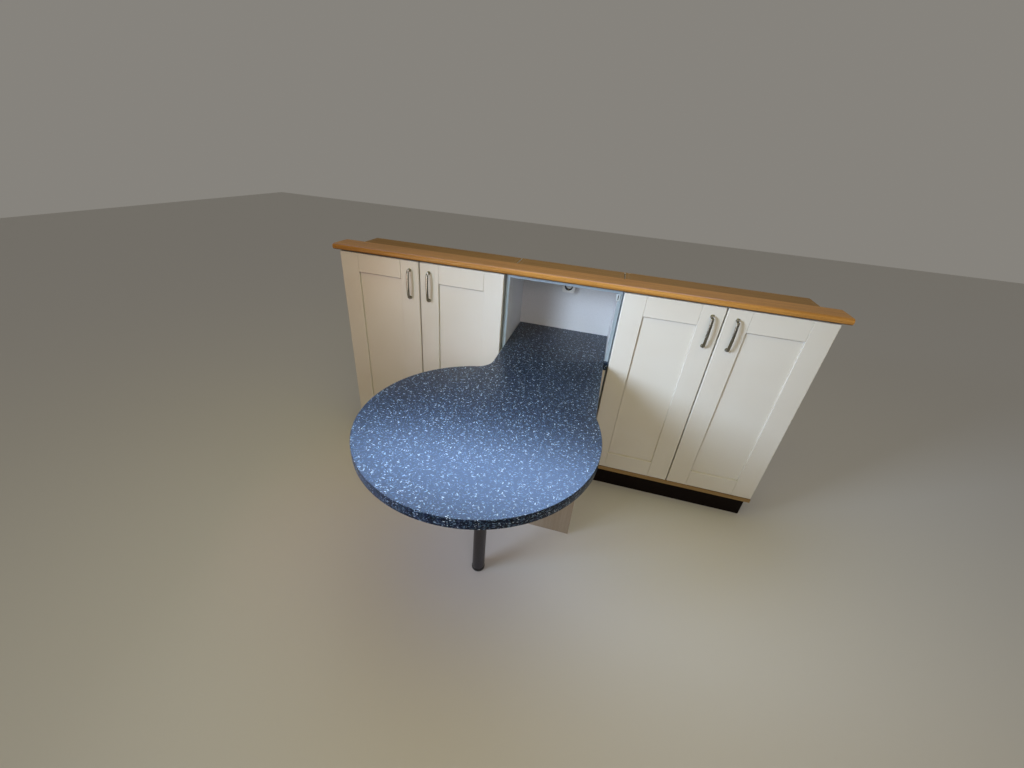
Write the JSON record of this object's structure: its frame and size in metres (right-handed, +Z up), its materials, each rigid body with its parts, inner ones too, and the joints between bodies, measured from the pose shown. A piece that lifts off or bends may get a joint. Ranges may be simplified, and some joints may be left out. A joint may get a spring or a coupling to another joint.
{
  "type": "fitted saloon sideboard with round-ended table",
  "caption": "Low fitted boat-saloon unit: shaker-door lockers either side of a niche whose worktop runs out as a round-ended table on a steel leg, under a wooden ledge.",
  "frame": {"origin": "middle of the unit's footprint at floor level, 351 mm in front of the door fronts' plane", "axes": "+X along the unit to its right end, +Y towards the back of the lockers, +Z up; the doors and the table face -Y"},
  "size_m": [2.164, 1.368, 1.086],
  "materials": {
    "door_foil": "satin cream foil on fibreboard",
    "white_board": "white melamine-faced board, fine pearl texture",
    "white_back": "white-faced hardboard",
    "ledge_wood": "stained and varnished solid wood",
    "oak_board": "light oak, oiled",
    "dark_board": "dark brown stained board",
    "speckled_laminate": "satin blue-black laminate with pale blue flecks",
    "pedestal_ply": "pale varnished plywood",
    "handle_metal": "satin nickel",
    "leg_steel": "satin grey steel tube",
    "foot_black": "black moulded plastic",
    "hinge_steel": "nickel-plated pressed steel",
    "socket_plastic": "white moulded plastic"
  },
  "bodies": {
    "root": {"left_outer_side": "white_board", "left_inner_side": "white_board", "left_top": "white_board", "left_bottom": "white_board", "left_shelf": "white_board", "right_outer_side": "white_board", "right_inner_side": "white_board", "right_top": "white_board", "right_bottom": "white_board", "right_shelf": "white_board", "niche_left_side": "white_board", "niche_right_side": "white_board", "niche_top": "white_board", "lower_front": "door_foil", "back_board": "white_back", "base_board": "oak_board", "toe_kick": "dark_board", "plinth_end_left": "dark_board", "plinth_end_right": "dark_board", "ledge": "ledge_wood", "worktop": "speckled_laminate", "table_leg": "leg_steel", "leg_flange": "leg_steel", "leg_foot": "foot_black", "pedestal_front": "pedestal_ply", "pedestal_side_left": "pedestal_ply", "pedestal_side_right": "pedestal_ply", "wall_socket": "socket_plastic"},
    "door_1": {"door_1_hinge_stile": "door_foil", "door_1_lock_stile": "door_foil", "door_1_top_rail": "door_foil", "door_1_bottom_rail": "door_foil", "door_1_panel": "door_foil", "door_1_handle": "handle_metal", "door_1_hinge_cup_upper": "hinge_steel", "door_1_hinge_cup_lower": "hinge_steel"},
    "door_2": {"door_2_hinge_stile": "door_foil", "door_2_lock_stile": "door_foil", "door_2_top_rail": "door_foil", "door_2_bottom_rail": "door_foil", "door_2_panel": "door_foil", "door_2_handle": "handle_metal", "door_2_hinge_cup_upper": "hinge_steel", "door_2_hinge_cup_lower": "hinge_steel"},
    "door_3": {"door_3_hinge_stile": "door_foil", "door_3_lock_stile": "door_foil", "door_3_top_rail": "door_foil", "door_3_bottom_rail": "door_foil", "door_3_panel": "door_foil", "door_3_handle": "handle_metal", "door_3_hinge_cup_upper": "hinge_steel", "door_3_hinge_cup_lower": "hinge_steel"},
    "door_4": {"door_4_hinge_stile": "door_foil", "door_4_lock_stile": "door_foil", "door_4_top_rail": "door_foil", "door_4_bottom_rail": "door_foil", "door_4_panel": "door_foil", "door_4_handle": "handle_metal", "door_4_hinge_cup_upper": "hinge_steel", "door_4_hinge_cup_lower": "hinge_steel"}
  },
  "joints": [
    {"name": "door_1_hinge", "type": "hinge", "parent": "root", "child": "door_1", "pos_m": [-1.0535, 0.351, 0.6], "axis": [0, 0, -1], "range_deg": [0, 110]},
    {"name": "door_2_hinge", "type": "hinge", "parent": "root", "child": "door_2", "pos_m": [-0.2545, 0.351, 0.6], "axis": [0, 0, 1], "range_deg": [0, 60]},
    {"name": "door_3_hinge", "type": "hinge", "parent": "root", "child": "door_3", "pos_m": [0.2545, 0.351, 0.6], "axis": [0, 0, -1], "range_deg": [0, 90]},
    {"name": "door_4_hinge", "type": "hinge", "parent": "root", "child": "door_4", "pos_m": [1.0535, 0.351, 0.6], "axis": [0, 0, 1], "range_deg": [0, 110]}
  ]
}
